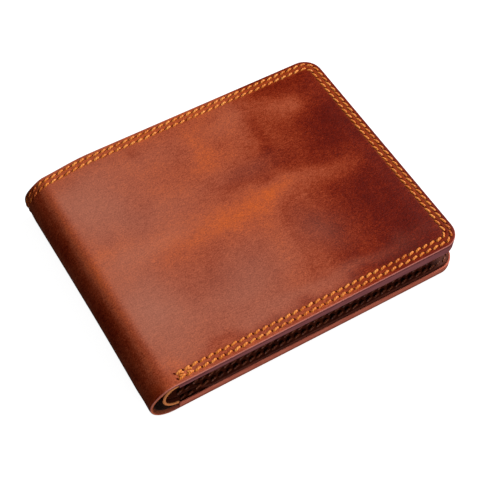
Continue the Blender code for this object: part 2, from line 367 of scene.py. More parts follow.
def outline_nodes(columns, rows, seam):
    """((s, y), inward direction, length, turn) round a leaf's edge, from the spine and back to it."""
    end, half = seam.end - seam.corner, seam.half - seam.corner
    length = end - seam.start
    nodes = [((s, -seam.half), (0, 1), s - seam.start, 0) for s in columns]
    angles = np.linspace(0, math.pi / 2, 15)[1:-1]

    def corner(y, start, gone, turned):
        for angle in angles:
            c, n = math.cos(start + angle), math.sin(start + angle)
            place = (end + seam.corner * c, y + seam.corner * n)
            nodes.append((place, (-c, -n), gone, turned + angle))

    corner(-half, -math.pi / 2, length, 0)
    nodes += [((seam.end, y), (-1, 0), length + y + half, math.pi / 2) for y in rows]
    corner(half, 0, length + 2 * half, math.pi / 2)
    gone = length + 2 * half
    nodes += [((s, seam.half), (0, -1), gone + end - s, math.pi) for s in reversed(columns)]
    return nodes


def add_chain(sheet, nodes, seam, thickness_at, cover):
    """The band of skin along these edge nodes. Returns its first and last row of points."""
    previous = first = None
    for place, inward, length, turned in nodes:
        profile = edge_profile(thickness_at(*place), seam.corner, cover)
        chain = []
        for number, (inset, depth) in enumerate(profile):
            s = place[0] + inward[0] * inset
            y = place[1] + inward[1] * inset
            along = length + turned * (seam.corner - inset)
            key = {0: "outer", len(profile) - 1: "inner"}.get(number)
            chain.append(sheet.point(s, y, inset, depth, along, key))
        if previous:
            for j in range(len(chain) - 1):
                sheet.face(previous[j], previous[j + 1], chain[j + 1], chain[j])
        previous = chain
        first = first or chain
    return first, previous


def add_cap(sheet, s, rows, near, far, outward):
    """Closes the skin at a border between two pieces. outward is the side of the border that is outside."""
    inner_rows = rows[1:-1]
    outer, inner = (
        [sheet.known[key, round(s * 1e7), round(y * 1e7)] for y in inner_rows] for key in ("outer", "inner")
    )
    ring = outer + far + inner[::-1] + near[::-1]
    sheet.face(*(ring if outward < 0 else ring[::-1]))


def add_inside(sheet, columns, rows, seam, cover):
    """The flat of both faces, inside the edge band."""
    for key, depth in (("outer", 0), ("inner", cover)):
        grid = []
        for s in columns:
            insets = [min(seam.half - abs(y), seam.end - s) for y in rows]
            grid.append([sheet.point(s, y, inset, depth, 0, key) for y, inset in zip(rows, insets)])
        for i in range(len(columns) - 1):
            for j in range(len(rows) - 1):
                quad = (grid[i][j], grid[i + 1][j], grid[i + 1][j + 1], grid[i][j + 1])
                sheet.face(*(quad if key == "outer" else reversed(quad)))


def steps(low, high, size):
    return list(np.linspace(low, high, max(2, round((high - low) / size)) + 1))


def leaf_sheet(border, seam, thickness_at, cover, fold, size, extra=()):
    """A leaf with its share of the spine, from the border between two spine pieces to the free edge."""
    end = seam.end - seam.corner
    columns = steps(border, fold.half_arc, FINE_STEP) + steps(fold.half_arc, end, size)[1:]
    columns = sorted({round(s, 9) for s in columns} | {round(s, 9) for s in extra})
    columns[-1] = end
    rows = steps(seam.corner - seam.half, seam.half - seam.corner, size)
    sheet = Sheet()
    near, far = add_chain(sheet, outline_nodes(columns, rows, seam), seam, thickness_at, cover)
    add_inside(sheet, columns, rows, seam, cover)
    add_cap(sheet, columns[0], rows, near, far, -1)
    return sheet


def spine_sheet(border, seam, cover, size):
    """The middle of the spine, between the two leaves' pieces."""
    columns = steps(-border, border, FINE_STEP)
    rows = steps(seam.corner - seam.half, seam.half - seam.corner, size)
    sheet = Sheet()
    length = seam.sides[0] + seam.sides[1] + seam.end - seam.corner
    near = [((s, -seam.half), (0, 1), s - seam.start, 0) for s in columns]
    far = [((s, seam.half), (0, -1), length - s, math.pi) for s in reversed(columns)]
    near_low, near_high = add_chain(sheet, near, seam, lambda s, y: cover, cover)
    far_high, far_low = add_chain(sheet, far, seam, lambda s, y: cover, cover)
    add_inside(sheet, columns, rows, seam, cover)
    add_cap(sheet, columns[0], rows, near_low, far_low, -1)
    add_cap(sheet, columns[-1], rows, near_high, far_high, 1)
    return sheet


def tube_faces(rings, around, start=0):
    """The closed skin over this many rings of points: the quads between them, and the two ends."""
    faces = []
    for i in range(rings - 1):
        for j in range(around):
            a = start + i * around + j
            b = start + i * around + (j + 1) % around
            faces.append([a, a + around, b + around, b])
    faces.append([start + j for j in range(around)])
    faces.append([start + (rings - 1) * around + j for j in reversed(range(around))])
    return faces


def new_piece(name, points, faces, attributes, material):
    mesh = bpy.data.meshes.new(name)
    mesh.from_pydata([tuple(point) for point in points], [], faces)
    mesh.shade_smooth()
    for key, values in attributes.items():
        attribute = mesh.attributes.new(key, "FLOAT_VECTOR", "POINT")
        attribute.data.foreach_set("vector", np.asarray(values, np.float32).ravel())
    mesh.materials.append(material)
    piece = bpy.data.objects.new(name, mesh)
    bpy.context.scene.collection.objects.link(piece)
    return piece


def sheet_piece(name, sheet, fold, seam, side, relief, material, material_slot):
    """The sheet folded into place. side is -1 for a sheet drawn for the front leaf and used on the back."""
    s, y, inset, depth, along = np.array(sheet.points).T
    s = s * side
    if side < 0:
        along = 2 * (seam.sides[0] + seam.sides[1] + seam.end - seam.corner) - along
        along = along + 2 * math.pi * (seam.corner - inset)
    faces = [list(reversed(face)) for face in sheet.faces] if side < 0 else sheet.faces
    attributes = {
        "hide": np.stack([s, y, depth], axis=1),
        "seam": np.stack([along, inset, np.sign(s) * smooth(depth, 0.0002, 0.0006)], axis=1),
    }
    if relief:
        attributes["patina"] = patina(s, y)
    lowered = depth + (relief(s, y, inset, depth) if relief else 0)
    points = fold.place(s, y, lowered)
    return new_piece(name, points, faces, attributes, material)


def match_normals(pieces):
    """Gives points that two pieces share one normal, so that no line shows where they meet."""

    def read(piece, what):
        values = np.empty(len(piece.data.vertices) * 3, np.float32)
        piece.data.vertices.foreach_get(what, values)
        return values.reshape(-1, 3)

    total = {}
    keys = [[tuple(row) for row in np.round(read(piece, "co") * 1e6).astype(int)] for piece in pieces]
    for key_list, found in zip(keys, [read(piece, "normal").astype(float) for piece in pieces]):
        for key, normal in zip(key_list, found):
            total[key] = total.get(key, 0) + normal
    for piece, key_list in zip(pieces, keys):
        mean = np.array([total[key] for key in key_list])
        mean /= np.linalg.norm(mean, axis=1)[:, None] + 1e-12
        piece.data.normals_split_custom_set_from_vertices(mean.tolist())


def bend_spine(piece, fold, index):
    """Bakes the piece's place into its mesh. The ends of its third of the spine's turn are worked out, but
    not used.
    """
    ends = [-fold.half_arc + 2 * fold.half_arc * i / 3 for i in (index, index + 1)]
    start, end = (Vector(fold.place(np.array(s), np.array(0.0), np.array(0.0))) for s in ends)
    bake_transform(piece)


# ---- the leather's markings, with its painted sheen and painted shade


# (distance from the spine's edge, y, half length, half width, tilt in degrees, strength) in millimetres
LIGHT_PATCHES = (
    (58, -1.0, 38, 6.0, 2, 0.22),
    (76, 2.5, 14, 3.2, 4, 0.18),
    (52, -3.5, 11, 3.0, 0, 0.10),
    (60, 26, 4.5, 11, 4, 0.18),
    (96, 31, 9, 6, -12, 0.42),
    (92, -2, 8, 5, 0, 0.30),
    (12, 5, 7, 3.0, 6, 0.22),
    (35, 20, 5, 9, 8, 0.10),
    (75, 34, 8, 8, 0, 0.22),
    (30, 24, 24, 16, 0, 0.08),
    (24, 2, 20, 6, 4, 0.12),
    (86, 30, 6, 14, 0, 0.13),
    (101, -5, 5, 2.2, 20, 0.16),
    (62, -26, 4.5, 12, 0, 0.10),
    (13, -39, 4, 6, 0, 0.18),
    (85, -28, 3.5, 9, 6, 0.08),
    (62, 44, 60, 1.6, 0, 0.16),
)
DARK_PATCHES = (
    (29, 17, 8, 8, -15, 0.23),
    (38, 34, 2.2, 8, 4, 0.12),
    (49, 30, 3.0, 9, 6, 0.13),
    (81, 27, 3.6, 9, -6, 0.20),
    (78, 17, 5, 3.5, 20, 0.18),
    (64, 10, 12, 5.2, 6, 0.38),
    (80, 9, 5, 3, 10, 0.20),
    (104, 19, 7, 13, -6, 0.18),
    (112, 2, 5, 22, 0, 0.12),
    (102, -20, 10, 15, 0, 0.14),
    (102, -37, 12, 6, 4, 0.14),
    (40, -19, 11, 9, -20, 0.19),
    (53, -24, 5, 7, 0, 0.12),
    (74, -16, 7, 8, 12, 0.22),
    (76, -32, 10, 10, 0, 0.16),
    (52, -30, 24, 13, 0, 0.09),
    (80, -20, 3, 7, 10, 0.14),
    (58, -40.8, 46, 1.5, 0, 0.26),
)
# Patches of painted sheen: a reflection of the lamps, painted into the leather's colour
PAINTED_SHEEN_PATCHES = (
    (15, 26, 16, 17, 0, 1.0),
    (13, -20, 14, 20, 0, 1.15),
    (38, -32, 18, 9, 0, 0.45),
    (36, 12, 18, 9, 0, 0.45),
    (26, 1, 18, 5, 4, 0.45),
    (42, 33, 16, 10, 0, 0.35),
    (47, -22, 17, 13, 0, 0.65),
    (76, -18, 8, 9, 0, 0.30),
    (72, 34, 8, 7, 0, 0.25),
    (66, 13, 12, 6, 0, 0.25),
    (60, -38, 30, 3, 0, 0.45),
)


def patches(s, y, listed):
    """The sum of soft ellipses on the front leaf."""
    total = np.zeros(len(s))
    for x, centre_y, long, wide, tilt, strength in listed:
        across = (s - shell_fold.at_x(LOW[0] + x * 0.001)) * 1000
        up = y * 1000 - centre_y
        c, n = math.cos(math.radians(tilt)), math.sin(math.radians(tilt))
        along, aside = across * c + up * n, up * c - across * n
        total += strength * np.exp(-((along / long) ** 2) - (aside / wide) ** 2)
    return total


def patina(s, y):
    """(tone, painted sheen, wear) of the leather: how light it is, with painted shade round the spine, how
    much painted sheen of the lamps lies on it, and how rubbed.
    """
    warp_s = s + 0.003 * waves(s, y, 0.012, 7) + 0.0012 * waves(s, y, 0.004, 17)
    warp_y = y + 0.004 * waves(s, y, 0.013, 8) + 0.0012 * waves(s, y, 0.004, 18)
    cloud = 0.5 * waves(warp_s, warp_y, 0.020, 3) + 0.4 * waves(warp_s, warp_y, 0.008, 4)
    streaks = waves(warp_s, warp_y * 0.35, 0.0045, 9)
    across = (s - shell_fold.at_x(LOW[0])) * 1000
    front = smooth(s, 0, 0.010)
    tone = 0.59 + 0.09 * cloud + 0.06 * streaks + 0.12 * (1 - front) * waves(s, y, 0.035, 12)
    tone += front * (patches(warp_s, warp_y, LIGHT_PATCHES) - patches(warp_s, warp_y, DARK_PATCHES))
    ragged = across + 1.4 * waves(s, y, 0.007, 21)
    # Painted shade: the tone is darkened in a ragged band on the spine, where the leather turns away from the
    # light
    painted_spine_shade = smooth(ragged, -4, -1) * smooth(-ragged, -5.0, -2.0)
    tone -= 0.50 * smooth(ragged, 63, 97)
    tone -= 0.35 * painted_spine_shade * (0.75 + 0.35 * waves(s, y, 0.012, 22))
    # Painted sheen: the lamps' reflection as hazy patches, kept off the spine
    painted_sheen = smooth(across, 5.5, 9) * patches(warp_s, warp_y, PAINTED_SHEEN_PATCHES)
    wear = 0.5 + 0.5 * waves(s, y, 0.006, 5)
    return np.stack([tone, painted_sheen, wear], axis=1)


# ---- materials


class Recipe:
    """Short names for the nodes of one material."""

    def __init__(self, name):
        self.material = bpy.data.materials.new(name)
        self.material.use_nodes = True
        self.tree = self.material.node_tree
        self.shader = self.tree.nodes["Principled BSDF"]

    def put(self, target, value):
        if isinstance(value, bpy.types.NodeSocket):
            self.tree.links.new(value, target)
        elif isinstance(value, tuple) and target.type == "VECTOR":
            target.default_value = value[:3]
        else:
            target.default_value = value

    def set(self, **values):
        for name, value in values.items():
            self.put(self.shader.inputs[name.replace("_", " ")], value)

    def node(self, kind, inputs, output=0, **settings):
        """An output of a new node with these settings and these inputs, by name or number."""
        node = self.tree.nodes.new("ShaderNode" + kind)
        for key, value in settings.items():
            setattr(node, key, value)
        for key, value in inputs.items():
            self.put(node.inputs[key], value)
        return node.outputs[output]

    def attribute(self, name):
        return self.node("Attribute", {}, "Vector", attribute_name=name)

    def object_place(self):
        return self.node("TexCoord", {}, "Object")

    def parts(self, vector):
        return self.node("SeparateXYZ", {0: vector}).node.outputs

    def scaled(self, vector, scale):
        return self.node("Mapping", {"Vector": vector, "Scale": scale})

    def noise(self, where, scale, detail=3.0, distortion=0.0):
        inputs = {"Vector": where, "Scale": scale, "Detail": detail, "Distortion": distortion}
        return self.node("TexNoise", inputs, "Fac")

    def cells(self, where, scale):
        return self.node("TexVoronoi", {"Vector": where, "Scale": scale}, "Distance", feature="SMOOTH_F1")

    def math(self, operation, first, second=0.0, third=0.0):
        return self.node("Math", {0: first, 1: second, 2: third}, operation=operation)

    def times(self, first, second):
        return self.math("MULTIPLY", first, second)

    def minus(self, first, second):
        return self.math("SUBTRACT", first, second)

    def times_plus(self, first, second, third):
        return self.math("MULTIPLY_ADD", first, second, third)

    def distance(self, value, middle):
        """How far the value is from this middle."""
        return self.math("ABSOLUTE", self.minus(value, middle))

    def band(self, value, low, high, to_low=0.0, to_high=1.0):
        inputs = {"Value": value, "From Min": low, "From Max": high, "To Min": to_low, "To Max": to_high}
        return self.node("MapRange", inputs, interpolation_type="SMOOTHSTEP")

    def mix(self, factor, first, second, blend="MIX"):
        node = self.node("Mix", {}, data_type="RGBA", blend_type=blend, clamp_factor=True).node
        sockets = [socket for socket in node.inputs if socket.enabled]
        for socket, value in zip(sockets, (factor, first, second)):
            self.put(socket, value)
        return next(socket for socket in node.outputs if socket.enabled)

    def ramp(self, factor, stops):
        output = self.node("ValToRGB", {0: factor})
        ramp = output.node.color_ramp
        ramp.elements[0].position, ramp.elements[0].color = stops[0]
        ramp.elements[1].position, ramp.elements[1].color = stops[-1]
        for position, colour in stops[1:-1]:
            ramp.elements.new(position).color = colour
        return output

    def bump(self, height, distance, strength, normal=None):
        inputs = {"Strength": strength, "Distance": distance, "Height": height}
        if normal:
            inputs["Normal"] = normal
        return self.node("Bump", inputs)


def needle_holes(recipe, along, inset):
    """1 in the needle holes of both seam rows, 0 elsewhere."""
    step = recipe.math("DIVIDE", along, PITCH)
    off = recipe.times(recipe.minus(step, recipe.math("ROUND", step)), PITCH)
    total = None
    for row in ROWS:
        aside = recipe.minus(inset, row)
        lean = recipe.times_plus(aside, 0.5, off)
        halves = ((lean, 0.00040), (aside, 0.00050))
        squares = [recipe.math("POWER", recipe.math("DIVIDE", value, half), 2.0) for value, half in halves]
        hole = recipe.band(recipe.math("ADD", *squares), 0.45, 1.15, 1.0, 0.0)
        total = recipe.math("MAXIMUM", total, hole) if total else hole
    started = recipe.math("GREATER_THAN", along, -PITCH / 2)
    return recipe.times(total, started)


def cover_leather():
    """Waxed pull-up leather: cloudy in tone, darker where the wax lies thick, with a burnished edge, and with
    painted sheen, painted highlights and painted shade in its colour.
    """
    recipe = Recipe("cover_leather")
    hide = recipe.attribute("hide")
    tone, painted_sheen, wear = recipe.parts(recipe.attribute("patina"))
    along, inset, edge = recipe.parts(recipe.attribute("seam"))

    mottle = recipe.noise(hide, 150, 4, 0.6)
    speckle = recipe.noise(hide, 800, 3, 0.3)
    pores = recipe.noise(hide, 2300, 2)
    scuffs = recipe.noise(recipe.scaled(hide, (1, 2.6, 1)), 420, 5, 2.2)
    level = tone
    for pattern, strength in ((mottle, 0.34), (speckle, 0.40), (scuffs, 0.42), (pores, 0.60)):
        level = recipe.times_plus(recipe.minus(pattern, 0.5), strength, level)
    colour = recipe.ramp(
        recipe.times_plus(level, 0.8, 0.2),
        (
            (0.00, rgb(76, 11, 4)),
            (0.20, rgb(96, 18, 4)),
            (0.36, rgb(120, 34, 11)),
            (0.52, rgb(142, 54, 27)),
            (0.68, rgb(158, 72, 45)),
            (0.84, rgb(176, 81, 44)),
            (1.00, rgb(190, 87, 38)),
        ),
    )
    # Painted sheen: a pale pinkish haze, the lamps' reflection, mixed into the colour
    colour = recipe.mix(recipe.times(painted_sheen, 0.72), colour, rgb(166, 103, 84))
    between = recipe.band(recipe.distance(inset, SEAM_MIDDLE), 0.0010, 0.0022, 1, 0)
    _, across, depth = recipe.parts(hide)
    tint = recipe.band(across, -0.044, -0.020, 0.12, 0.45)
    colour = recipe.mix(recipe.times(between, tint), colour, rgb(168, 70, 28))
    fleck = recipe.times_plus(pores, 0.55, recipe.times(scuffs, 0.45))
    colour = recipe.mix(1.0, colour, recipe.band(fleck, 0.36, 0.64, 0.86, 1.13), "MULTIPLY")

    side = recipe.math("ABSOLUTE", edge)
    colour = recipe.mix(side, colour, burnished_edge_with_painted_light(recipe, hide, edge))
    # Painted highlight: a pinkish line along the top of the near edge's rounding, as if it caught the light
    rim = recipe.times(recipe.band(depth, 0.00001, 0.00010), recipe.band(depth, 0.00028, 0.00055, 1, 0))
    near = recipe.band(across, -0.043, -0.038, 0.75, 0.10)
    colour = recipe.mix(recipe.times(rim, near), colour, rgb(206, 128, 116))

    # Painted shade in the needle holes: they are coloured dark red-brown
    holes = recipe.times(needle_holes(recipe, along, inset), recipe.minus(1.0, side))
    colour = recipe.mix(holes, colour, rgb(84, 20, 8))
    shine = recipe.times_plus(wear, -0.05, recipe.times_plus(speckle, 0.16, 0.40))
    recipe.set(Base_Color=colour, Roughness=shine, Specular_IOR_Level=0.025)

    relief = recipe.bump(recipe.cells(hide, 1500), 0.00006, 0.55)
    relief = recipe.bump(scuffs, 0.00012, 0.6, relief)
    relief = recipe.bump(pores, 0.00005, 0.5, relief)
    recipe.set(Normal=recipe.bump(recipe.minus(1.0, holes), 0.00035, 0.9, relief))
    return recipe.material


def burnished_edge_with_painted_light(recipe, hide, edge):
    """The rubbed edge and the layers' joint, partly painted light: darker purplish brown on the front leaf as
    painted shade, brighter and redder on the back one as painted light.
    """
    streaks = recipe.noise(recipe.scaled(hide, (0.12, 0.12, 1)), 1500, 3)
    stops = (0.25, 0.55, 0.85)
    # One edge paint in two copies: the front leaf's painted darker and purplish as shade, the back leaf's
    # brighter and redder as light from below
    front = (rgb(132, 72, 76), rgb(152, 90, 92), rgb(170, 104, 102))
    back = (rgb(176, 88, 70), rgb(200, 108, 86), rgb(216, 126, 102))
    front_edge_painted_shade, back_edge_painted_light = (recipe.ramp(streaks, tuple(zip(stops, tones))) for tones in (front, back))
    paint = recipe.mix(recipe.math("GREATER_THAN", edge, 0.0), back_edge_painted_light, front_edge_painted_shade)
    s, _, depth = recipe.parts(hide)
    # Painted highlight: the cut edge round the spine is painted brighter orange, where the light catches it
    round_spine = recipe.band(recipe.distance(s, 0.0), 0.008, 0.0125, 0.8, 0)
    paint = recipe.mix(round_spine, paint, rgb(222, 118, 74))
    joint = recipe.band(recipe.distance(depth, 0.0010), 0.00012, 0.00032, 1, 0)
    return recipe.mix(recipe.times(joint, 0.75), paint, rgb(84, 34, 28))


def smooth_leather(name, dark, middle, light, edge=None, solid=False):
    """Plain tanned leather with a smooth grain. edge is the colour of its cut edge round the spine.

    A solid has no place on the hide, so its own place is used.
    """
    recipe = Recipe(name)
    hide = recipe.object_place() if solid else recipe.attribute("hide")
    cloud = recipe.noise(hide, 90, 4, 0.5)
    fine = recipe.noise(hide, 1300, 4)
    level = recipe.times_plus(recipe.minus(fine, 0.5), 0.35, cloud)
    colour = recipe.ramp(level, ((0.25, dark), (0.5, middle), (0.75, light)))
    relief = recipe.bump(recipe.cells(hide, 1800), 0.00006, 0.5)
    if not solid:
        inset = recipe.parts(recipe.attribute("seam"))[1]
        crease = recipe.band(recipe.distance(inset, 0.0019), 0.00008, 0.00028, 1, 0)
        colour = recipe.mix(recipe.times(crease, 0.6), colour, dark)
        relief = recipe.bump(recipe.minus(1.0, crease), 0.00015, 0.7, relief)
    if edge:
        s = recipe.distance(recipe.parts(hide)[0], 0.0)
        limit = divider_fold.at_x(SEAM_START_X)
        round_spine = recipe.band(s, limit - 0.0004, limit, 1, 0)
        shown = recipe.times(recipe.band(inset, 0.0002, 0.0006, 1, 0), round_spine)
        colour = recipe.mix(shown, colour, edge)
    recipe.set(Base_Color=colour, Roughness=recipe.times_plus(fine, 0.15, 0.45))
    recipe.set(Normal=relief, Specular_IOR_Level=0.10)
    return recipe.material


def lining_cloth():
    """Matt brown twill, with its diagonal ribs."""
    recipe = Recipe("lining_cloth")
    hide = recipe.attribute("hide")
    s, y, _ = recipe.parts(hide)
    rib = recipe.math("SINE", recipe.times(recipe.math("ADD", s, y), 2 * math.pi / 0.0006))
    weft = recipe.math("SINE", recipe.times(s, 2 * math.pi / 0.0004))
    weave = recipe.times_plus(weft, 0.4, rib)
    level = recipe.times_plus(weave, 0.18, recipe.noise(hide, 300, 3))
    colour = recipe.ramp(level, ((0.2, rgb(26, 13, 9)), (0.8, rgb(66, 36, 25))))
    recipe.set(Base_Color=colour, Roughness=0.85, Specular_IOR_Level=0.2)
    recipe.set(Normal=recipe.bump(weave, 0.00008, 0.6))
    return recipe.material


def waxed_thread(name, dark, middle, light):
    """Waxed thread of two plies, each stitch with its own shade value, with painted highlights on the plies'
    crests and painted shade between them.
    """
    recipe = Recipe(name)
    length, around, shade = recipe.parts(recipe.attribute("ply"))
    twist = recipe.times_plus(length, 2 * math.pi / 0.0016, around)
    # Painted highlight and painted shade: ply is 1 on each ply's crest and 0 in the groove between plies, and
    # the colour follows it
    ply = recipe.math("ABSOLUTE", recipe.math("SINE", twist))
    level = recipe.times_plus(ply, 0.35, recipe.times(shade, 0.6))
    colour = recipe.ramp(level, ((0.0, dark), (0.45, middle), (0.9, light)))
    recipe.set(Base_Color=colour, Roughness=0.5, Specular_IOR_Level=0.3)
    recipe.set(Normal=recipe.bump(ply, 0.00012, 0.6))
    return recipe.material


def window_film():
    """Thin clear film, slightly rippled."""
    recipe = Recipe("window_film")
    ripple = recipe.noise(recipe.object_place(), 60, 2)
    tint = recipe.ramp(ripple, ((0.0, rgb(214, 220, 220)), (1.0, rgb(232, 236, 236))))
    recipe.set(Base_Color=tint, Roughness=recipe.times_plus(ripple, 0.06, 0.06), Alpha=0.18)
    recipe.set(Normal=recipe.bump(ripple, 0.0004, 0.3))
    return recipe.material


LEATHER = cover_leather()
INSIDE_TONES = (rgb(58, 21, 12), rgb(80, 32, 19), rgb(100, 44, 27))
INSIDE = smooth_leather("inside_leather", *INSIDE_TONES)
INSIDE_SOLID = smooth_leather("inside_leather_solid", *INSIDE_TONES, solid=True)
DIVIDER_LEATHER = smooth_leather("divider_leather", *INSIDE_TONES, edge=rgb(226, 140, 84))
CLOTH = lining_cloth()
THREAD_TONES = (rgb(164, 68, 14), rgb(212, 114, 32), rgb(234, 148, 68))
THREAD_MATERIAL = waxed_thread("waxed_thread", *THREAD_TONES)
# A darker copy of the thread for the rows on the leaves' inner faces: painted shade, as they lie in the
# shaded gap
PAINTED_SHADE_THREAD_TONES = (rgb(60, 24, 12), rgb(88, 38, 18), rgb(114, 54, 26))
PAINTED_SHADE_THREAD = waxed_thread("inner_thread_painted_shade", *PAINTED_SHADE_THREAD_TONES)
FILM = window_film()


# ---- shell, lining and divider


def shell_relief(s, y, inset, depth):
    """The cover's whole relief: full on the outer face, fading out down the edge."""
    outer = 1 - smooth(depth, 0, EDGE_ROUND)
    return cover_relief(s, y, inset) * outer + spine_pull(s, y)


def lining_relief(s, y, inset, depth):
    return spine_pull(s, y) * 0.9


def cover_thickness(side):
    """The thickness of a leaf's visible edge at (s, y): all its sewn layers, or the cover alone."""

    def thickness(s, y):
        if y > HALF_HEIGHT - CORNER + 1e-6 or s < STACK_START:
            return COVER
        full = float(stack_depth(side, np.array(min(y, HALF_HEIGHT - CORNER))))
        first, last = EDGE_SHARES[side]
        share = first + (last - first) * float(smooth(s, STACK_START, LEAF_END))
        return COVER + (full - COVER) * share

    return thickness


def plain_edge(thickness):
    """What cover_thickness is for the cover, for a sheet whose edge is the same all round."""
    return lambda name: lambda s, y: thickness


def inner_seam(fold, inset):
    """The way round a sheet that ends this far inside the cover's edge."""
    return Seam(0, fold.at_x(FREE_EDGE) - inset, HALF_HEIGHT - inset, CORNER - inset, True)


def add_round_spine(kind, fold, seam, thickness, edge_of, relief, finish, nodes, under, **drawing):
    """A sheet that runs round the spine, in three pieces: two leaves and the short middle of the spine.

    edge_of gives the function of a leaf's edge thickness. nodes are the ends of the leaves' CAD names and
    the start of the spine's.
    """
    border = fold.half_arc / 3
    leaf_node, spine_node = nodes
    pieces = {}
    for name, side in (("back", -1), ("front", 1)):
        sheet = leaf_sheet(border, seam, edge_of(name), thickness, fold, **drawing)
        pieces[name] = sheet_piece(f"{name}_{kind}", sheet, fold, seam, side, relief, *finish)
        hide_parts(f"{name}_{leaf_node}")
    sheet = spine_sheet(border, seam, thickness, drawing["size"])
    pieces["spine"] = sheet_piece(f"spine_{kind}", sheet, fold, seam, 1, relief, *finish)
    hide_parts(f"{spine_node}_1", f"{spine_node}_2")
    match_normals(list(pieces.values()))
    for name, index in (("back", 0), ("front", 2), ("spine", 1)):
        bend_spine(pieces[name], fold, index)


def add_shell():
    """The cover with all the leaves' edges, its lining, and the bill divider."""
    lining_fold = shell_fold.inner(LINING_DEPTH)
    add_round_spine(
        "cover", shell_fold, shell_seam, COVER, cover_thickness, shell_relief,
        (LEATHER, "cover_leather"), ("cover_leather", "spine_leather"), "lining",
        size=COVER_STEP, extra=(STACK_START - 0.0001, STACK_START + 0.0001),
    )
    add_round_spine(
        "lining", lining_fold, inner_seam(lining_fold, LINING_INSET), LINING, plain_edge(LINING),
        lining_relief, (CLOTH, "lining"), ("cover_lining", "spine_lining"), "cover", size=INNER_STEP,
    )
    add_round_spine(
        "divider", divider_fold, inner_seam(divider_fold, LEAF_INSET), DIVIDER, plain_edge(DIVIDER), None,
        (DIVIDER_LEATHER, "inside_leather"), ("bill_divider", "spine_divider"), "lining", size=INNER_STEP,
    )


# ---- stitches


def stitch_mesh(seam, inset, starts, surface, seed, up=1.0, length=PITCH, slant=THREAD_SLANT, radius=THREAD):
    """Points (s, y, depth), faces and ply values of one row of stitches that start at these lengths.

    Round the spine the stitches are rubbed so that they lie lower, and they are painted darker there: painted
    shade, where the rows lie in shadow.
    """
    rng = np.random.default_rng(seed)
    around, lengthwise = 8, 9
    t = np.linspace(0, 1, lengthwise)
    phi = np.linspace(0, 2 * math.pi, around, endpoint=False)
    starts = np.asarray(starts, float)[:, None]
    each = (len(starts), 1)
    gap = STITCH_GAP * length
    along = starts + gap + t * (length - 2 * gap)
    s, y, in_s, in_y = seam.place(along, inset)
    rubbed_and_painted_shade = 1 - smooth(np.abs(s), 0.003, 0.0145) if seam.over_spine else 0 * s
    bulge = 1 - np.abs(2 * t - 1) ** 3.2
    wobble = rng.normal(0, 0.00005, each)
    lateral = slant * np.sin((t - 0.5) * math.pi) + wobble
    lift = THREAD_LIFT * bulge - THREAD_SINK + rng.normal(0, 0.00003, each) - RUBBED_SINK * rubbed_and_painted_shade
    thick = radius * (0.72 + 0.28 * bulge) * (1 + rng.normal(0, 0.04, each))
    c, n = np.cos(phi), np.sin(phi)
    offset = lateral[..., None] + thick[..., None] * c
    ring_s = s[..., None] + in_s[..., None] * offset
    ring_y = y[..., None] + in_y[..., None] * offset
    height = lift[..., None] + 0.78 * thick[..., None] * n
    ring_depth = surface(ring_s, ring_y) - up * height
    points = np.stack([ring_s, ring_y, ring_depth], axis=-1).reshape(-1, 3)
    # Round the spine each stitch's shade value is lowered: painted shade
    shade = np.clip(rng.normal(0.55, 0.22, (len(starts), 1, 1)), 0, 1) - rubbed_and_painted_shade[..., None]
    ply = np.stack(np.broadcast_arrays(along[..., None], phi, shade), axis=-1).reshape(-1, 3)
    faces = []
    for stitch in range(len(starts)):
        faces += tube_faces(lengthwise, around, stitch * around * lengthwise)
    return points, faces if up > 0 else [face[::-1] for face in faces], ply


def stitches_piece(name, rows, fold, material, side=1):
    """Rows of stitches as one piece. side is -1 for rows drawn for the front leaf and used on the back."""
    points, faces, ply = [], [], []
    count = 0
    for row_points, row_faces, row_ply in rows:
        points.append(row_points)
        ply.append(row_ply)
        faces += [[index + count for index in face][::side] for face in row_faces]
        count += len(row_points)
    s, y, depth = np.concatenate(points).T
    placed = fold.place(s * side, y, depth)
    return new_piece(name, placed, faces, {"ply": np.concatenate(ply)}, material)


def outer_surface(s, y):
    """Depth of the cover's outer face where a row of stitches lies."""
    return spine_pull(s, y) + SEAM_SINK


def add_outer_stitches():
    """Both rows round the front leaf, over the spine at the far edge, and round the back leaf."""
    border = shell_fold.half_arc / 3
    groups = {"front": [], "spine": [], "back": []}
    for row_number, inset in enumerate(ROWS):
        starts = np.arange(0, shell_seam.length(inset) - PITCH, PITCH)
        s = shell_seam.place(starts + PITCH / 2, inset)[0]
        for name, chosen in (("front", s > border), ("spine", np.abs(s) <= border), ("back", s < -border)):
            seed = 10 * row_number + len(name)
            groups[name].append(stitch_mesh(shell_seam, inset, starts[chosen], outer_surface, seed))
        tack_inset = inset + (TACK_ASIDE if row_number == 0 else -TACK_ASIDE)
        for name, begin in (("front", 0), ("back", starts[-1] - PITCH)):
            doubled = begin + PITCH * np.array([0.12, 1.12])
            seed = 77 + row_number
            tack = stitch_mesh(shell_seam, tack_inset, doubled, outer_surface, seed, slant=-THREAD_SLANT)
            groups[name].append(tack)
    for name, index in (("back", 0), ("spine", 1), ("front", 2)):
        piece = stitches_piece(f"{name}_stitches", groups[name], shell_fold, THREAD_MATERIAL)
        if name == "spine":
            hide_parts(*(f"spine_thread_{row}_{n}" for row in ("outer", "inner") for n in (1, 2)))
        else:
            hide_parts(f"{name}_thread_outer", f"{name}_thread_inner")
        bend_spine(piece, shell_fold, index)


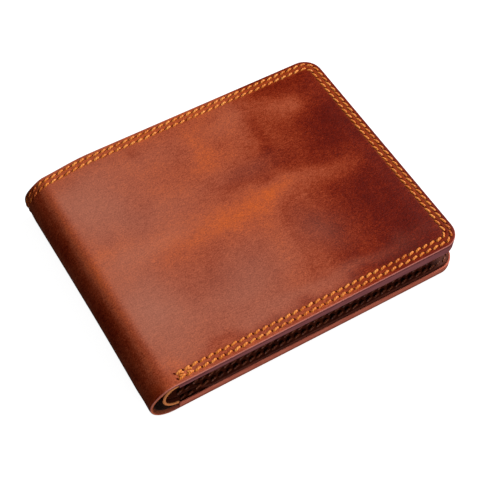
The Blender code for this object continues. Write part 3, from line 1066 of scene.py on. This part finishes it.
def add_inner_stitches():
    """The same rows where they show on the inner face of each leaf, along the pocket and free edges."""
    for name, side in (("front", 1), ("back", -1)):
        rows = []
        for row_number, inset in enumerate(ROWS):
            reach = sum(shell_seam.sides) + math.pi / 2 * (CORNER - inset) - PITCH
            starts = np.arange(0, reach, PITCH)

            def inner_face(s, y, name=name):
                return np.where(s < POCKET_START, STACKS[name][0], stack_depth(name, y))

            rows.append(stitch_mesh(shell_seam, inset, starts, inner_face, 40 + row_number, up=-1.0))
        # The inner rows take the darker thread: painted shade
        piece = stitches_piece(f"{name}_inner_stitches", rows, shell_fold, PAINTED_SHADE_THREAD, side)
        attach(piece, f"{name}_leaf")


# ---- pockets and flap


def plate(name, box, level, thickness, radii):
    """A thin leather plate with softly rounded edges, creased beside its edge where a pocket opens.

    box is (low x, high x, low y, high y). The four corner radii start at low x, low y and turn left.
    """
    top = min(PLATE_EDGE_ROUND, thickness * 0.45)
    profile = [(inset, 0) for inset in (PLATE_BAND, 0.0035, 0.0025, 0.0021, 0.0018, 0.0015, 0.0008, 0.0003)]
    profile += rounded(top, 5) + [(inset, thickness - rise) for rise, inset in rounded(top, 5)]
    profile.append((PLATE_BAND, thickness))
    outline = plate_outline(box, radii)
    points, insets = [], []
    for inset, depth in profile:
        for x, y, in_x, in_y in outline:
            points.append((x + in_x * inset, y + in_y * inset, depth))
            insets.append(inset if y > box[3] - OPENING_BAND else NO_CREASE)
    faces = tube_faces(len(profile), len(outline))
    if level.up < 0:
        faces = [face[::-1] for face in faces]
    x, y, depth = np.array(points).T
    placed = level.place(x, y, depth)
    attributes = {
        "hide": np.stack([x, y, placed[:, 2]], axis=1),
        "seam": np.stack([0 * x, insets, 0 * x], axis=1),
    }
    return new_piece(name, placed, faces, attributes, INSIDE)


def plate_outline(box, radii):
    """(x, y, inward x, inward y) round a rectangle with these corner radii.

    At a corner too tight for the whole edge band, the band is narrower.
    """
    x_low, x_high, y_low, y_high = box
    corners = (
        (x_low, y_low, 1, 1, math.pi),
        (x_high, y_low, -1, 1, -math.pi / 2),
        (x_high, y_high, -1, -1, 0),
        (x_low, y_high, 1, -1, math.pi / 2),
    )
    outline = []
    for (x, y, step_x, step_y, start), radius in zip(corners, radii):
        inward = -min(radius, WHOLE_BAND_CORNER) / WHOLE_BAND_CORNER
        for angle in start + np.linspace(0, math.pi / 2, 11):
            c, n = math.cos(angle), math.sin(angle)
            place = (x + radius * (step_x + c), y + radius * (step_y + n))
            outline.append((*place, c * inward, n * inward))
    return outline


def add_pockets():
    """Three card pockets on each leaf, each lower than the one below it."""
    for side, up, spread, slip in (("front", -1, FRONT_SPREAD, 0), ("back", 1, BACK_SPREAD, BACK_SLIP)):
        for number in (1, 2, 3):
            node = f"{side}_card_pocket_{number}"
            low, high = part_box(node)
            right, near = FREE_EDGE + spread - LEAF_INSET, -HALF_HEIGHT + LEAF_INSET
            piece = plate(
                f"{side}_pocket_{number}", (low[0], right, near - slip, high[1]),
                Level(high[2] if up > 0 else low[2], up), POCKET,
                (POCKET_CORNER, CORNER - LEAF_INSET, POCKET_CORNER, POCKET_CORNER),
            )
            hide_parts(node)
            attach(piece, f"{side}_leaf")


def add_flap():
    """The third leaf: backing, pockets, window frame and film, its seam and the strip that carries it."""
    for node in ("flap_backing", "flap_card_pocket_1", "flap_card_pocket_2"):
        low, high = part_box(node)
        backing = node == "flap_backing"
        top = FLAP_CORNER if backing else FLAP_CORNER / 4
        box = (low[0], high[0], low[1], high[1])
        radii = (FLAP_CORNER, FLAP_CORNER, top, top)
        piece = plate(f"{node}_sheet", box, Level(low[2], -1), high[2] - low[2], radii)
        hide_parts(node)
        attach(piece, "flap")
    for node, material in (("flap_frame", INSIDE_SOLID), ("flap_window", FILM)):
        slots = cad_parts[node].data.materials
        slots.clear()
        slots.append(material)
    add_flap_stitches()
    add_flap_strip()


def add_flap_stitches():
    """One row of finer stitches round the window frame's three free sides."""
    low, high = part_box("flap_frame")
    seam = Seam(low[0] + FLAP_SEAM_INSET, high[0], high[1], FLAP_CORNER, False)
    starts = np.arange(0, seam.length(FLAP_SEAM_INSET) - FLAP_PITCH, FLAP_PITCH)
    row = stitch_mesh(
        seam, FLAP_SEAM_INSET, starts, lambda s, y: 0.0001 + 0 * s, 9,
        length=FLAP_PITCH, slant=THREAD_SLANT / 2, radius=THREAD * 0.7,
    )
    piece = stitches_piece("flap_stitches", [row], Level(high[2]), THREAD_MATERIAL)
    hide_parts("flap_thread")
    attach(piece, "flap")


def add_flap_strip():
    """The soft strip from the back leaf to the flap, in one piece round its bend."""
    foot_low, foot_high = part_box("flap_hinge_strip_lower")
    tail_low, tail_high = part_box("flap_hinge_strip_upper")
    half = foot_high[1]
    bend = Fold(tail_low[0], foot_low[2], tail_high[2])
    foot, tail = -bend.at_x(foot_high[0]), bend.at_x(tail_high[0])
    columns = steps(foot, tail, 0.0004)
    rows = steps(-half, half, 0.001)
    s, y = (grid.ravel() for grid in np.meshgrid(columns, rows, indexing="ij"))
    inset = np.minimum.reduce([half - np.abs(y), s - foot, tail - s])
    worn = STRIP_ROUND * (1 - smooth(inset, 0, 0.0006))
    points, hides, insets = [], [], []
    for depth in (worn, STRIP - worn):
        x, z, _ = bend.section(s, depth)
        points.append(np.stack([x, y, z], axis=1))
        hides.append(np.stack([s, y, depth], axis=1))
        insets.append(np.stack([s, inset, 0 * s], axis=1))
    wide, long, count = len(rows), len(columns), len(s)
    faces = []
    for i in range(long - 1):
        for j in range(wide - 1):
            quad = [i * wide + j, (i + 1) * wide + j, (i + 1) * wide + j + 1, i * wide + j + 1]
            faces += [quad, [index + count for index in reversed(quad)]]
    ring = [i * wide for i in range(long)]
    ring += [(long - 1) * wide + j for j in range(1, wide)]
    ring += [i * wide + wide - 1 for i in reversed(range(long - 1))]
    ring += [j for j in reversed(range(1, wide - 1))]
    faces += [[b, a, a + count, b + count] for a, b in zip(ring, ring[1:] + ring[:1])]
    attributes = {"hide": np.concatenate(hides), "seam": np.concatenate(insets)}
    piece = new_piece("flap_strip", np.concatenate(points), faces, attributes, INSIDE)
    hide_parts("flap_hinge_strip_lower", "flap_hinge_strip_upper")
    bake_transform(piece)


# ---- camera, floor and light


def add_camera():
    """A long lens that looks down over the spine's near corner."""
    data = bpy.data.cameras.new("camera")
    data.lens = CAMERA_LENS
    data.sensor_width = 36
    data.clip_start = 0.01
    camera = bpy.data.objects.new("camera", data)
    camera.matrix_world = Matrix.Translation(CAMERA_TARGET)
    for angle, axis in ((CAMERA_AZIMUTH, "Z"), (math.pi / 2 - CAMERA_ELEVATION, "X"), (-CAMERA_ROLL, "Z")):
        camera.matrix_world @= Matrix.Rotation(angle, 4, axis)
    camera.matrix_world @= Matrix.Translation((0, 0, CAMERA_DISTANCE))
    bpy.context.scene.collection.objects.link(camera)
    bpy.context.scene.camera = camera


def add_floor():
    """A white table that glows a little, so that shadows on it stay faint."""
    mesh = bpy.data.meshes.new("floor")
    half = 3.0
    height = LOW[2] - 0.0001
    corners = [(-half, -half, height), (half, -half, height), (half, half, height), (-half, half, height)]
    mesh.from_pydata(corners, [], [(0, 1, 2, 3)])
    recipe = Recipe("floor")
    recipe.set(Base_Color=(0.3, 0.3, 0.3, 1), Roughness=0.9, Specular_IOR_Level=0.0)
    recipe.set(Emission_Color=(1, 1, 1, 1), Emission_Strength=0.93)
    mesh.materials.append(recipe.material)
    floor = bpy.data.objects.new("floor", mesh)
    floor.visible_diffuse = False
    floor.visible_glossy = False
    bpy.context.scene.collection.objects.link(floor)


def add_light(name, place, size, power):
    """A rectangular lamp that looks at the origin."""
    data = bpy.data.lights.new(name, "AREA")
    data.shape = "RECTANGLE"
    data.size, data.size_y = size
    data.energy = power
    light = bpy.data.objects.new(name, data)
    light.location = place
    light.rotation_euler = (-Vector(place)).to_track_quat("-Z", "Y").to_euler()
    bpy.context.scene.collection.objects.link(light)


def add_lights():
    """A key lamp from the right, two weaker ones, and a world that is white but gives little light."""
    add_light("key", (1.05, 0.32, 1.00), (0.5, 0.5), 25.5)
    add_light("back_top", (-0.20, 0.80, 1.10), (0.4, 0.4), 2.2)
    add_light("front_fill", (0.10, -1.10, 0.45), (0.8, 0.3), 7.5)
    world = bpy.data.worlds.new("studio")
    world.use_nodes = True
    tree = world.node_tree
    background = tree.nodes["Background"].inputs
    background["Color"].default_value = (1, 1, 1, 1)
    seen = tree.nodes.new("ShaderNodeLightPath").outputs["Is Camera Ray"]
    strength = tree.nodes.new("ShaderNodeMapRange")
    strength.inputs["To Min"].default_value = 0.06
    tree.links.new(seen, strength.inputs["Value"])
    tree.links.new(strength.outputs[0], background["Strength"])
    bpy.context.scene.world = world
    bpy.context.scene.view_settings.view_transform = "Standard"


add_camera()
add_shell()
add_outer_stitches()
add_inner_stitches()
add_pockets()
add_flap()
add_floor()
add_lights()
